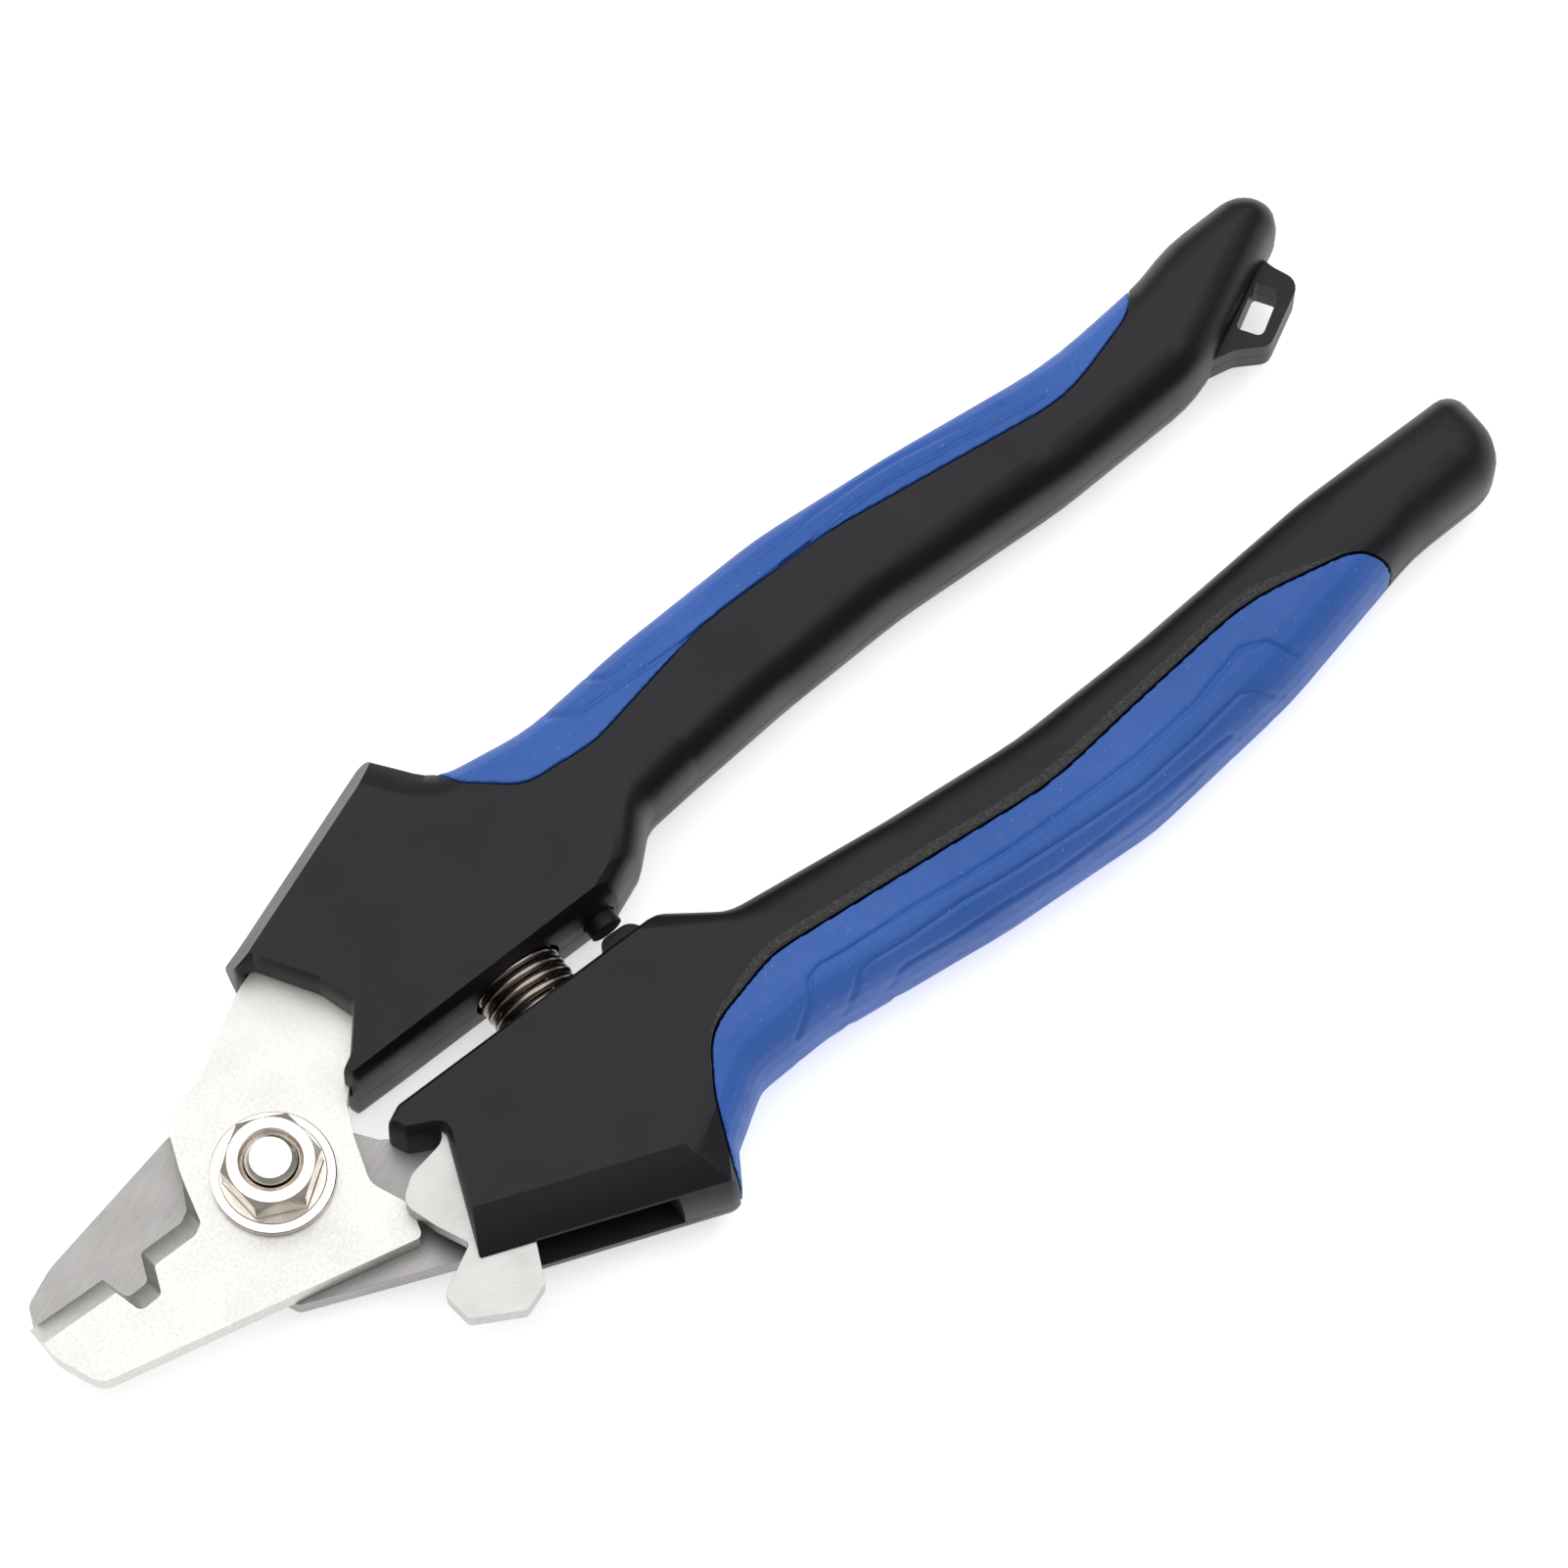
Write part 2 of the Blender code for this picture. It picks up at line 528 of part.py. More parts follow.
def build():
    for old in list(bpy.data.objects):
        bpy.data.objects.remove(old, do_unlink=True)

    bright_steel = finish("bright_blade_steel", (0.86, 0.83, 0.80), 0.32, 1.0)
    grey_steel = finish("grey_blade_steel", (0.45, 0.44, 0.43), 0.38, 1.0)
    nickel = finish("nickel_plate", (0.74, 0.70, 0.64), 0.22, 1.0)
    spring_steel = finish("dark_spring_steel", (0.20, 0.17, 0.15), 0.3, 1.0)
    black = finish("black_plastic", (0.035, 0.034, 0.038), 0.55, 0.0)
    blue = finish("blue_rubber", (0.045, 0.12, 0.36), 0.6, 0.0)

    pivot = joint_empty("blade_pivot_axis", (0.0, 0.0))
    lock_axis = joint_empty("lock_pivot_axis", LOCK_PIVOT)

    lower_shells = make_lower_shells()
    lower_pins = make_tang_pins("lower", LOWER_TANG_PINS, lower_shells)
    upper_shells = make_upper_shells()
    upper_pins = make_tang_pins("upper", UPPER_TANG_PINS, upper_shells)
    front_blade = make_front_blade()
    lower_grip = make_grip("lower_grip", LOWER_HANDLE, LOWER_STEM, LOWER_GRIP_AREA)
    upper_grip = make_grip("upper_grip", UPPER_HANDLE, UPPER_STEM, UPPER_GRIP_AREA)
    bumper = lying_cylinder("stop_bumper", BUMPER_RADIUS, *BUMPER_PLACE, BUMPER_ENDS, 24)
    lever = make_lock_lever()
    lock_washer = make_washer("lock_friction_washer", LOCK_PIVOT, LOCK_PIN_RADIUS + GAP / 2,
                              LOCK_SHOULDER_RADIUS, LOCK_WASHER)

    for piece in (*lower_shells, *upper_shells, bumper):
        dress(piece, black)
    for piece in (lower_grip, upper_grip):
        dress(piece, blue)
    for piece in (front_blade, lever):
        dress(piece, bright_steel)
    dress(make_back_blade(), grey_steel)
    for piece in (*lower_pins, *upper_pins, make_lock_pin(), lock_washer):
        dress(piece, grey_steel)
    for piece in (make_pivot_bolt(), make_pivot_nut(),
                  make_washer("pivot_washer", (0, 0), PIVOT_HOLE_RADIUS, WASHER_RADIUS, WASHER)):
        dress(piece, nickel)
    dress(make_return_spring(), spring_steel)

    for piece in (front_blade, *upper_shells, *upper_pins, upper_grip, bumper):
        hold(piece, pivot)
    hold(lever, lock_axis)


build()
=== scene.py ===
"""Plate nippers with a blade lock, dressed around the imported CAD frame.

Everything is in metres in the CAD's frame: +X from the jaws to the handles, +Z up from the floor.
"""

import json
import math

import bmesh
import bpy
import numpy as np
from mathutils import Matrix, Vector
from mathutils.bvhtree import BVHTree


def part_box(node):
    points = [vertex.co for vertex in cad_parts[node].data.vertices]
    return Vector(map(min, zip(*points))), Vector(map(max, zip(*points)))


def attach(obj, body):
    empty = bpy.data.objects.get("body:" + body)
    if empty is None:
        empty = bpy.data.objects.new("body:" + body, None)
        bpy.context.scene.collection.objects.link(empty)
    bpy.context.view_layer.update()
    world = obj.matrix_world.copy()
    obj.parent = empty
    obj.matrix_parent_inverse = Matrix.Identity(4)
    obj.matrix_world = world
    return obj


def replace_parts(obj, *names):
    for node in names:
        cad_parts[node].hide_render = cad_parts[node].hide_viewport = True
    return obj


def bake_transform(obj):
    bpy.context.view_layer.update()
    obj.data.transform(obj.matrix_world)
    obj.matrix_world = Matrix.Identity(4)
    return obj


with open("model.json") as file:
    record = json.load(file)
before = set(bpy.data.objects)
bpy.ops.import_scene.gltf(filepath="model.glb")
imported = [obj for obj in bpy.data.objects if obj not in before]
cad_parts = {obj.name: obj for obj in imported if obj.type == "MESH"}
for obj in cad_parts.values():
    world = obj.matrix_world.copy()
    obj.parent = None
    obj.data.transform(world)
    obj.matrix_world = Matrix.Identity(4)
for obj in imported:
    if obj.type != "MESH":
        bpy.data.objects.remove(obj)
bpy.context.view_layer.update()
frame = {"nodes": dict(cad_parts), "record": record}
MM = 0.001


# ---------------------------------------------------------------- materials

class Nodes:
    """A short way to write a material's nodes."""

    def __init__(self, name):
        self.material = bpy.data.materials.new(name)
        self.material.use_nodes = True
        self.tree = self.material.node_tree
        self.shader = self.tree.nodes["Principled BSDF"]
        self.place = self.tree.nodes.new("ShaderNodeTexCoord").outputs["Object"]

    def link(self, start, end):
        self.tree.links.new(start, end)

    def put(self, kind, inputs=None, **settings):
        node = self.tree.nodes.new(kind)
        for key, value in settings.items():
            setattr(node, key, value)
        for key, value in (inputs or {}).items():
            if isinstance(value, bpy.types.NodeSocket):
                self.link(value, node.inputs[key])
            else:
                node.inputs[key].default_value = value
        return node

    def stretched(self, scale, turn=0.0):
        """Object coordinates turned about Z and then scaled, for grain that runs one way."""
        turned = self.put("ShaderNodeMapping", {"Vector": self.place, "Rotation": (0, 0, turn)})
        return self.put("ShaderNodeMapping", {"Vector": turned.outputs[0], "Scale": scale}).outputs[0]

    def noise(self, scale, detail=2.0, place=None, roughness=0.5):
        inputs = {"Vector": place or self.place, "Scale": scale, "Detail": detail,
                  "Roughness": roughness}
        return self.put("ShaderNodeTexNoise", inputs).outputs["Fac"]

    def distance(self, place):
        inputs = {0: self.place, 1: place}
        return self.put("ShaderNodeVectorMath", inputs, operation="DISTANCE").outputs["Value"]

    def spread(self, value, low, high, to_low, to_high):
        inputs = {"Value": value, "From Min": low, "From Max": high, "To Min": to_low, "To Max": to_high}
        return self.put("ShaderNodeMapRange", inputs).outputs["Result"]

    def mix(self, factor, first, second):
        node = self.put("ShaderNodeMix", data_type="RGBA")
        self.link(factor, node.inputs["Factor"])
        for socket, value in (("A", first), ("B", second)):
            target = [s for s in node.inputs if s.name == socket and s.type == "RGBA"][0]
            if isinstance(value, bpy.types.NodeSocket):
                self.link(value, target)
            else:
                target.default_value = (*value, 1.0)
        return [s for s in node.outputs if s.type == "RGBA"][0]

    def bump(self, height, strength, distance):
        inputs = {"Height": height, "Strength": strength, "Distance": distance}
        return self.put("ShaderNodeBump", inputs).outputs["Normal"]

    def set(self, **sockets):
        for key, value in sockets.items():
            socket = self.shader.inputs[key.replace("_", " ")]
            if isinstance(value, bpy.types.NodeSocket):
                self.link(value, socket)
            else:
                socket.default_value = (*value, 1.0) if isinstance(value, tuple) else value
        return self.material


def brushed_steel(name, light, dark, roughness, turn):
    """Plate ground one way: fine scratches along the turn direction, and cloudy wear."""
    n = Nodes(name)
    scratches = n.noise(1.0, 4.0, n.stretched((350.0, 9000.0, 900.0), turn), 0.65)
    clouds = n.noise(180.0, 3.0)
    blend = n.spread(scratches, 0.3, 0.7, 0.0, 1.0)
    colour = n.mix(blend, dark, light)
    rough = n.spread(clouds, 0.3, 0.7, roughness - 0.05, roughness + 0.07)
    normal = n.bump(scratches, 0.2, 0.00003)
    return n.set(Base_Color=colour, Metallic=1.0, Roughness=rough, Normal=normal)


def blasted_steel(name, light, dark, roughness, place, shade_reach):
    """Plate with a fine even grain, and painted shade: darker with the distance from place."""
    n = Nodes(name)
    grains = n.noise(2400.0, 2.0)
    clouds = n.noise(160.0, 3.0)
    colour = n.mix(n.spread(grains, 0.32, 0.68, 0.0, 1.0), dark, light)
    # Painted shade: the colour fades to a darker copy of light with the distance from place, standing in
    # for the shade towards the housing.
    far = n.spread(n.distance(place), shade_reach[0], shade_reach[1], 0.0, 1.0)
    colour = n.mix(far, colour, tuple(c * 0.84 for c in light))
    rough = n.spread(clouds, 0.3, 0.7, roughness - 0.03, roughness + 0.05)
    normal = n.bump(grains, 0.12, 0.00003)
    return n.set(Base_Color=colour, Metallic=1.0, Roughness=rough, Normal=normal)


def plated(name, colour, roughness):
    n = Nodes(name)
    clouds = n.noise(300.0, 4.0)
    tint = n.mix(n.spread(clouds, 0.35, 0.7, 0.0, 1.0), colour, tuple(c * 0.8 for c in colour))
    rough = n.spread(n.noise(900.0, 3.0), 0.3, 0.7, roughness - 0.04, roughness + 0.08)
    normal = n.bump(n.noise(1500.0, 2.0), 0.08, 0.00003)
    return n.set(Base_Color=tint, Metallic=1.0, Roughness=rough, Normal=normal)


def plastic(name, colour, roughness, grain, depth, specular):
    n = Nodes(name)
    clouds = n.noise(60.0, 3.0)
    tint = n.mix(n.spread(clouds, 0.35, 0.65, 0.0, 1.0), colour, tuple(c * 1.2 for c in colour))
    rough = n.spread(n.noise(140.0, 3.0), 0.3, 0.7, roughness - 0.03, roughness + 0.04)
    normal = n.bump(n.noise(grain, 2.0), 0.3, depth)
    return n.set(Base_Color=tint, Roughness=rough, Normal=normal, Specular_IOR_Level=specular)


def textured_plastic(name, colour, roughness):
    """Spark-eroded mould texture: coarse sharp grains that catch the light."""
    n = Nodes(name)
    grains = n.noise(2300.0, 3.0)
    tint = n.mix(n.spread(grains, 0.5, 0.72, 0.0, 1.0), colour, tuple(c * 5.0 for c in colour))
    normal = n.bump(grains, 1.0, 0.0003)
    return n.set(Base_Color=tint, Roughness=roughness, Normal=normal)


def blue_rubber():
    n = Nodes("blue_rubber")
    clouds = n.noise(45.0, 3.0)
    deep, pale = (0.020, 0.098, 0.40), (0.034, 0.124, 0.46)
    tint = n.mix(n.spread(clouds, 0.35, 0.65, 0.0, 1.0), deep, pale)
    dust = n.spread(n.noise(2600.0, 1.0), 0.72, 0.80, 0.0, 0.4)
    tint = n.mix(dust, tint, (0.35, 0.45, 0.75))
    normal = n.bump(n.noise(3200.0, 3.0), 0.35, 0.00006)
    rough = n.spread(n.noise(500.0, 2.0), 0.3, 0.7, 0.50, 0.60)
    return n.set(Base_Color=tint, Roughness=rough, Normal=normal, Specular_IOR_Level=0.4)


# The bright blade gets painted shade: darker away from place, towards the housing.
BRIGHT_STEEL = blasted_steel("bright_blade_steel", (0.64, 0.63, 0.605), (0.55, 0.542, 0.522), 0.38,
                             (-0.010, -0.006, 0.010), (0.018, 0.040))
LEVER_STEEL = brushed_steel("lever_steel", (0.50, 0.488, 0.478), (0.43, 0.42, 0.41), 0.38, 0.35)
GREY_STEEL = brushed_steel("grey_blade_steel", (0.335, 0.325, 0.318), (0.27, 0.262, 0.256), 0.38, -0.35)
NICKEL = plated("nickel_plate", (0.80, 0.745, 0.68), 0.20)
SPRING_STEEL = plated("dark_spring_steel", (0.30, 0.26, 0.23), 0.20)
BLACK = plastic("black_plastic", (0.0078, 0.0072, 0.0100), 0.42, 2600.0, 0.00001, 0.25)
TEXTURED_BLACK = textured_plastic("textured_black_plastic", (0.012, 0.012, 0.013), 0.5)
BLUE = blue_rubber()

FINISHES = {
    "bright_blade_steel": BRIGHT_STEEL, "grey_blade_steel": GREY_STEEL, "nickel_plate": NICKEL,
    "dark_spring_steel": SPRING_STEEL, "black_plastic": BLACK, "blue_rubber": BLUE,
}
OWN_FINISHES = {"lock_lever": LEVER_STEEL}
# Widths of the broken edges, in millimetres
EDGE_WIDTHS = {"black_plastic": 0.22, "nickel_plate": 0.15}
FINE_EDGE = 0.12


def dress(piece, material):
    piece.data.materials.clear()
    piece.data.materials.append(material)


def smooth_by_angle(limit):
    """A geometry node group that shades faces smooth, and keeps edges sharper than limit sharp."""
    tree = bpy.data.node_groups.new(f"smooth_{round(math.degrees(limit))}", "GeometryNodeTree")
    for direction in ("INPUT", "OUTPUT"):
        tree.interface.new_socket("Geometry", in_out=direction, socket_type="NodeSocketGeometry")
    start, end = tree.nodes.new("NodeGroupInput"), tree.nodes.new("NodeGroupOutput")
    faces, edges = (tree.nodes.new("GeometryNodeSetShadeSmooth") for _ in range(2))
    edges.domain = "EDGE"
    edges.inputs["Shade Smooth"].default_value = False
    angle = tree.nodes.new("GeometryNodeInputMeshEdgeAngle")
    sharp = tree.nodes.new("ShaderNodeMath")
    sharp.operation = "GREATER_THAN"
    sharp.inputs[1].default_value = limit
    for output, target in (
        (start.outputs[0], faces.inputs[0]), (faces.outputs[0], edges.inputs[0]),
        (angle.outputs["Unsigned Angle"], sharp.inputs[0]),
        (sharp.outputs[0], edges.inputs["Selection"]), (edges.outputs[0], end.inputs[0]),
    ):
        tree.links.new(output, target)
    return tree


SOFT_SHADING = smooth_by_angle(math.radians(50))


def weld(piece):
    """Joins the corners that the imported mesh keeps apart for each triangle."""
    piece.modifiers.new("weld", "WELD").merge_threshold = 0.000001


def refine(piece, width):
    """Breaks the CAD piece's sharp edges, shades its flat faces flat and its rounded ones smooth."""
    weld(piece)
    piece.modifiers.new("smooth", "NODES").node_group = SOFT_SHADING
    bevel = piece.modifiers.new("bevel", "BEVEL")
    bevel.width = width
    bevel.segments = 2
    bevel.limit_method = "ANGLE"
    bevel.angle_limit = math.radians(28)
    normals = piece.modifiers.new("weighted_normals", "WEIGHTED_NORMAL")
    normals.keep_sharp = True


for subpart in frame["record"]["subparts"]:
    node = frame["nodes"][subpart["node"]]
    dress(node, OWN_FINISHES.get(subpart["node"]) or FINISHES[subpart["material_slot"]])
    refine(node, EDGE_WIDTHS.get(subpart["material_slot"], FINE_EDGE) * MM)


# ---------------------------------------------------------------- pieces modelled here

def linked(name, mesh, material, body):
    piece = bpy.data.objects.new(name, mesh)
    bpy.context.scene.collection.objects.link(piece)
    dress(piece, material)
    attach(piece, body)
    return piece


def make_coil():
    """The return spring: a close coil, its wire ends capped flat, from one housing's pocket to the
    other's.
    """
    low, high = (Vector(corner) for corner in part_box("return_spring"))
    centre = (low + high) / 2
    wire = 0.6 * MM
    radius = (high.x - low.x) / 2 - wire
    turns, steps, sides = 12.5, 36, 12
    start, end = low.y + wire, high.y - wire
    count = int(turns * steps)
    shape = bmesh.new()
    rings = []
    for i in range(count + 1):
        angle = 2 * math.pi * i / steps
        out = Vector((math.cos(angle), 0.0, math.sin(angle)))
        spine = Vector((centre.x, start + (end - start) * i / count, centre.z)) + out * radius
        rings.append([
            shape.verts.new(spine + wire * (math.cos(a) * out + math.sin(a) * Vector((0, 1, 0))))
            for a in (2 * math.pi * j / sides for j in range(sides))
        ])
    for low_ring, high_ring in zip(rings, rings[1:]):
        for j in range(sides):
            shape.faces.new((low_ring[j - 1], low_ring[j], high_ring[j], high_ring[j - 1])).smooth = True
    shape.faces.new(rings[0])
    shape.faces.new(list(reversed(rings[-1])))
    bmesh.ops.recalc_face_normals(shape, faces=shape.faces)
    mesh = bpy.data.meshes.new("coil_spring")
    shape.to_mesh(mesh)
    shape.free()
    piece = bpy.data.objects.new("coil_spring", mesh)
    bpy.context.scene.collection.objects.link(piece)
    dress(piece, SPRING_STEEL)
    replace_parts(piece, "return_spring")
    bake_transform(piece)


def make_nut():
    """The flange nut: a turned flange, and a hexagon whose top corners are cut to a cone."""
    low, high = (Vector(corner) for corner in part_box("pivot_nut"))
    centre = (low + high) / 2
    flange = (high.x - low.x) / 2
    flat, bore = 5.0 * MM, 3.15 * MM
    turn, per_side = math.radians(36), 14
    cone_start, cone_slope = flat * 0.985, math.tan(math.radians(28))
    top, seat = high.z, low.z + 1.25 * MM

    def hexagon(angle):
        return flat / math.cos((angle - turn) % (math.pi / 3) - math.pi / 6)

    def level(radius, height):
        return lambda angle: (radius, height)

    levels = (
        level(bore, low.z), level(flange - 0.1 * MM, low.z), level(flange, low.z + 0.1 * MM),
        level(flange, low.z + 0.85 * MM), level(flange - 0.12 * MM, low.z + 0.98 * MM),
        level(flange - 1.0 * MM, seat - 0.12 * MM), level(flange - 1.12 * MM, seat),
        lambda angle: (hexagon(angle) + 0.1 * MM, seat),
        lambda angle: (hexagon(angle), seat + 0.12 * MM),
        lambda angle: (hexagon(angle), top - max(hexagon(angle) - cone_start, 0) * cone_slope),
        level(cone_start, top), level(bore + 0.55 * MM, top), level(bore, top - 0.45 * MM),
    )
    shape = bmesh.new()
    rings = []
    for at in levels:
        ring = []
        for i in range(6 * per_side):
            angle = turn + math.pi / 3 * i / per_side
            radius, height = at(angle)
            place = (centre.x + radius * math.cos(angle), centre.y + radius * math.sin(angle), height)
            ring.append(shape.verts.new(place))
        rings.append(ring)
    for inner, outer in zip(rings, rings[1:] + rings[:1]):
        for i in range(len(inner)):
            shape.faces.new((inner[i - 1], inner[i], outer[i], outer[i - 1]))
    bmesh.ops.recalc_face_normals(shape, faces=shape.faces)
    mesh = bpy.data.meshes.new("flange_nut")
    shape.to_mesh(mesh)
    shape.free()
    mesh.shade_smooth()
    mesh.set_sharp_from_angle(angle=math.radians(24))
    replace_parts(linked("flange_nut", mesh, NICKEL, "lower_half"), "pivot_nut")


# The textured band beside the lower grip. It stops short of the grip's two ends.
BAND_START = 3.5 * MM
BAND_END = 2.5 * MM
BAND_LIFT = 0.03 * MM
BAND_INSET = 0.28       # from the grip's edge to the band, in millimetres
BAND_WIDTH = 1.3        # in millimetres
BAND_TAPER = 0.012
BAND_COLUMNS = 140
BAND_ROWS = 7
HANDLE_MIDDLE = 0.008
GRIP_RISE = 0.003       # the grip's face is at least this far from the handle's middle
RAY_START = 0.05

# Grooves moulded into the grips: chains of (x, y) places in millimetres. They are drawn on a plane
# GROOVE_PLANE high and carried to the rounded skin along GROOVE_SLANT.
VOXEL, QUICK_VOXEL = 0.25, 0.9
GROOVE_PLANE = 15.0 * MM
GROOVE_SLANT = np.array((0.207, 0.275))
GROOVE_DEPTH = 0.34 * MM
GROOVE_WIDTH = 0.30 * MM
LOWER_GROOVES = (
    ((55.2, -23.7), (58.9, -21.2), (60.8, -18.7), (62.4, -18.2), (66.0, -18.6), (74.8, -19.0),
     (81.1, -19.6), (88.3, -20.1), (98.1, -20.2), (106.2, -20.0), (115.1, -18.9), (120.4,
     -17.5), (123.2, -16.8), (125.9, -17.9), (127.7, -21.3)),
    ((59.6, -25.4), (63.5, -23.3), (65.5, -21.6), (67.4, -21.3), (72.2, -21.7), (79.7, -21.8),
     (85.6, -22.4), (92.3, -22.8), (96.9, -23.0), (103.8, -23.2), (112.5, -22.3), (119.8,
     -21.1), (121.2, -21.8), (122.6, -23.7), (124.3, -24.8)),
    ((65.9, -25.8), (68.8, -24.4), (70.4, -24.1), (76.2, -24.7), (82.7, -24.9), (90.7, -25.6),
     (96.5, -25.5), (100.5, -25.3), (107.1, -25.0), (113.2, -24.6), (115.9, -24.5), (116.7,
     -25.5)),
    ((72.1, -26.4), (75.3, -26.3), (81.2, -26.8), (88.9, -27.2), (97.4, -27.3), (102.5, -26.9),
     (107.5, -26.6), (110.6, -26.3)),
)
UPPER_GROOVES = (
    ((55.5, 23.9), (58.8, 22.1), (60.4, 22.1), (65.6, 21.9), (72.2, 21.7), (79.0, 21.9), (86.1,
     22.3), (91.3, 22.6), (95.5, 23.2), (100.0, 23.5), (105.2, 23.3), (109.5, 22.6), (113.1,
     22.4), (117.4, 21.7), (121.6, 21.2), (123.8, 21.0)),
    ((62.0, 24.7), (63.9, 23.6), (65.6, 23.7), (70.5, 24.0), (76.2, 24.0), (80.1, 24.7), (86.6,
     24.8), (94.3, 25.3), (101.4, 25.3), (106.4, 24.9), (111.2, 24.2), (116.0, 23.4), (119.5,
     23.1)),
)


def make_soft_grip(name, body, grooves):
    """The grip's CAD skin remeshed finely, with its grooves pressed into both faces."""
    node = frame["nodes"][name]
    copy = bpy.data.objects.new("copy", node.data.copy())
    bpy.context.scene.collection.objects.link(copy)
    weld(copy)
    remesh = copy.modifiers.new("remesh", "REMESH")
    remesh.mode = "VOXEL"
    remesh.voxel_size = VOXEL * MM
    soften = copy.modifiers.new("soften", "SMOOTH")
    soften.iterations = 3
    graph = bpy.context.evaluated_depsgraph_get()
    mesh = bpy.data.meshes.new_from_object(copy.evaluated_get(graph))
    bpy.data.objects.remove(copy)
    mesh.name = f"soft_{name}"
    count = len(mesh.vertices)
    points, normals = np.empty(count * 3), np.empty(count * 3)
    mesh.vertices.foreach_get("co", points)
    mesh.vertex_normals.foreach_get("vector", normals)
    points, normals = points.reshape(-1, 3), normals.reshape(-1, 3)
    low, high = (np.array(corner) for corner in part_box(name))
    middle = (low[2] + high[2]) / 2
    rise = np.abs(points[:, 2] - middle) + middle
    drawn = points[:, :2] + GROOVE_SLANT * (rise - GROOVE_PLANE)[:, None]
    near = np.full(count, 1.0)
    for line in grooves:
        corners = np.array(line) * MM
        for start, end in zip(corners, corners[1:]):
            run = end - start
            along = np.clip(((drawn - start) @ run) / (run @ run), 0, 1)
            near = np.minimum(near, np.linalg.norm(drawn - start - along[:, None] * run, axis=1))
    facing = np.clip((np.abs(normals[:, 2]) - 0.1) / 0.2, 0, 1)
    outer = np.sign(points[:, 2] - middle) == np.sign(normals[:, 2])
    depth = GROOVE_DEPTH * np.exp(-(near / GROOVE_WIDTH) ** 2) * facing * outer
    points -= normals * depth[:, None]
    mesh.vertices.foreach_set("co", points.ravel())
    mesh.shade_smooth()
    piece = linked(f"soft_{name}", mesh, BLUE, body)
    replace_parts(piece, name)


def make_band():
    """The textured strip of black plastic that borders the lower grip, front and back."""
    graph = bpy.context.evaluated_depsgraph_get()
    grip = BVHTree.FromObject(frame["nodes"]["lower_grip"], graph)
    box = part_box("lower_grip")
    for side, shell_name in ((1, "lower_front_shell"), (-1, "lower_back_shell")):
        shell = BVHTree.FromObject(frame["nodes"][shell_name], graph)
        far = RAY_START * side

        def on(tree, x, y):
            return tree.ray_cast(Vector((x, y, far)), Vector((0, 0, -side)))[0]

        columns = []
        xs = np.linspace(box[0].x + BAND_START, box[1].x - BAND_END, BAND_COLUMNS)
        for x in xs:
            inside, outside = -0.024, -0.0085
            for _ in range(18):
                middle = (inside + outside) / 2
                hit = on(grip, x, middle)
                grip_hit = hit is not None and (hit.z - HANDLE_MIDDLE) * side > GRIP_RISE
                inside, outside = (middle, outside) if grip_hit else (inside, middle)
            columns.append((x, outside))
        widening = np.clip((xs - xs[0]) / BAND_TAPER, 0.25, 1)
        grow = widening * np.clip((xs[-1] - xs) / BAND_TAPER, 0.15, 1)
        shape = bmesh.new()
        rows = []
        for (x, edge), share in zip(columns, grow):
            row = []
            for step in np.linspace(0, 1, BAND_ROWS):
                y = edge + (BAND_INSET + step * BAND_WIDTH * share) * MM
                hit = on(shell, x, y)
                if hit is None:
                    row = []
                    break
                lift = BAND_LIFT if 0 < step < 1 else -BAND_LIFT
                row.append(shape.verts.new((x, y, hit.z + side * lift)))
            if row:
                rows.append(row)
        for one, two in zip(rows, rows[1:]):
            for i in range(BAND_ROWS - 1):
                shape.faces.new((one[i], two[i], two[i + 1], one[i + 1])).smooth = True
        bmesh.ops.recalc_face_normals(shape, faces=shape.faces)
        mesh = bpy.data.meshes.new("band")
        shape.to_mesh(mesh)
        shape.free()
        name = "lower_band_front" if side > 0 else "lower_band_back"
        linked(name, mesh, TEXTURED_BLACK, "lower_half")


make_coil()
make_nut()
make_band()
make_soft_grip("lower_grip", "lower_half", LOWER_GROOVES)
make_soft_grip("upper_grip", "upper_half", UPPER_GROOVES)


# ---------------------------------------------------------------- camera, light and floor

TILT, ROLL = math.radians(19.0), math.radians(37.0)
CAMERA_DISTANCE = 1.0
TARGET = Vector((0.07379, 0.00346, 0.0072))
PIXELS_PER_METRE = 9000.0
FRAME_PIXELS = 1601
SENSOR = 36.0
LIGHT_AIM = Vector((0.07, 0.0, 0.0))
LIGHT_DISTANCE = 1.3
LIGHT_SIZE = (2.2, 1.8)
LIGHT_POWER = 20.0
FLOOR_HALF = 3.0
FLOOR_DROP = 0.0002
FLOOR_GLOW = 0.65
SKY_STRENGTH = 0.3


def camera_axes():
    """The camera's right, up and viewing directions."""
    right = Vector((math.cos(ROLL), -math.sin(ROLL), 0.0))
    away = Vector((math.sin(ROLL), math.cos(ROLL), 0.0))
    up = away * math.cos(TILT) + Vector((0, 0, math.sin(TILT)))
    ahead = away * math.sin(TILT) - Vector((0, 0, math.cos(TILT)))
    return right, up, ahead


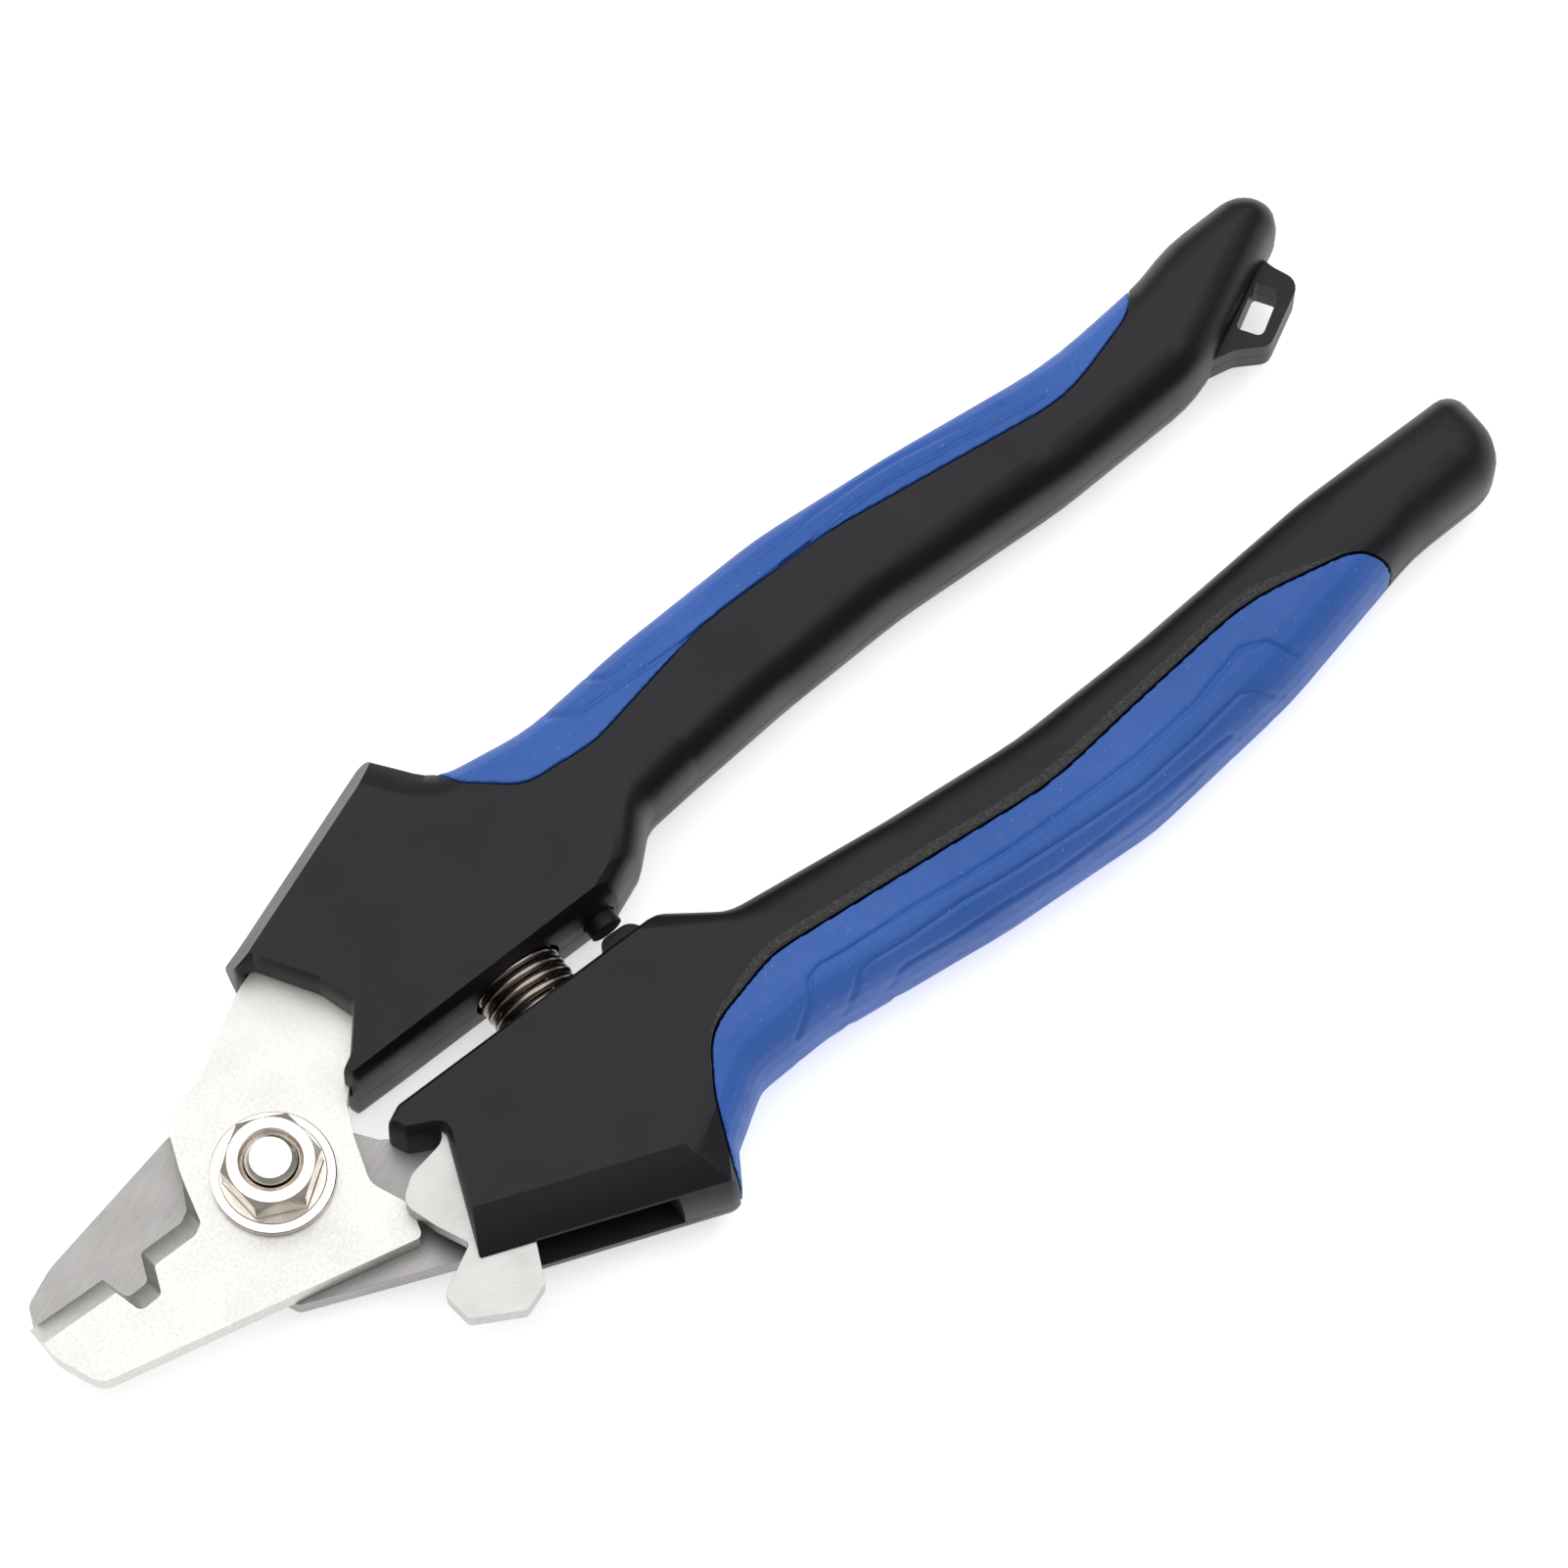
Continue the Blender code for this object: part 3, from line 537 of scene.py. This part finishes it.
def make_camera():
    right, up, ahead = camera_axes()
    data = bpy.data.cameras.new("camera")
    data.sensor_width = SENSOR
    data.lens = SENSOR * PIXELS_PER_METRE * CAMERA_DISTANCE / FRAME_PIXELS
    data.clip_start, data.clip_end = 0.05, 20.0
    camera = bpy.data.objects.new("camera", data)
    rotation = Matrix((right, up, -ahead)).transposed().to_4x4()
    camera.matrix_world = Matrix.Translation(TARGET - ahead * CAMERA_DISTANCE) @ rotation
    bpy.context.scene.collection.objects.link(camera)
    bpy.context.scene.camera = camera


def make_light(name, place, size, power):
    data = bpy.data.lights.new(name, "AREA")
    data.shape = "RECTANGLE"
    data.size, data.size_y = size
    data.energy = power
    lamp = bpy.data.objects.new(name, data)
    lamp.location = place
    lamp.rotation_euler = (LIGHT_AIM - place).to_track_quat("-Z", "Y").to_euler()
    bpy.context.scene.collection.objects.link(lamp)


def make_stage():
    size = FLOOR_HALF
    mesh = bpy.data.meshes.new("floor")
    mesh.from_pydata([(-size, -size, 0), (size, -size, 0), (size, size, 0), (-size, size, 0)], [],
                     [(0, 1, 2, 3)])
    floor = bpy.data.objects.new("floor", mesh)
    bpy.context.scene.collection.objects.link(floor)
    n = Nodes("floor_paper")
    tint = n.mix(n.noise(40.0), (0.90, 0.90, 0.90), (0.93, 0.93, 0.93))
    glow = {"Emission_Color": tint, "Emission_Strength": FLOOR_GLOW}
    floor.data.materials.append(n.set(Base_Color=tint, Roughness=0.9, **glow))
    floor.location.z = -FLOOR_DROP

    world = bpy.data.worlds.new("studio")
    world.use_nodes = True
    world.node_tree.nodes["Background"].inputs["Color"].default_value = (1.0, 1.0, 1.0, 1.0)
    world.node_tree.nodes["Background"].inputs["Strength"].default_value = SKY_STRENGTH
    bpy.context.scene.world = world


make_camera()
make_stage()
_, _, AHEAD = camera_axes()
MIRROR = Vector((AHEAD.x, AHEAD.y, -AHEAD.z))
make_light("overhead", TARGET + MIRROR * LIGHT_DISTANCE, LIGHT_SIZE, LIGHT_POWER)
bpy.context.scene.view_settings.view_transform = "Standard"
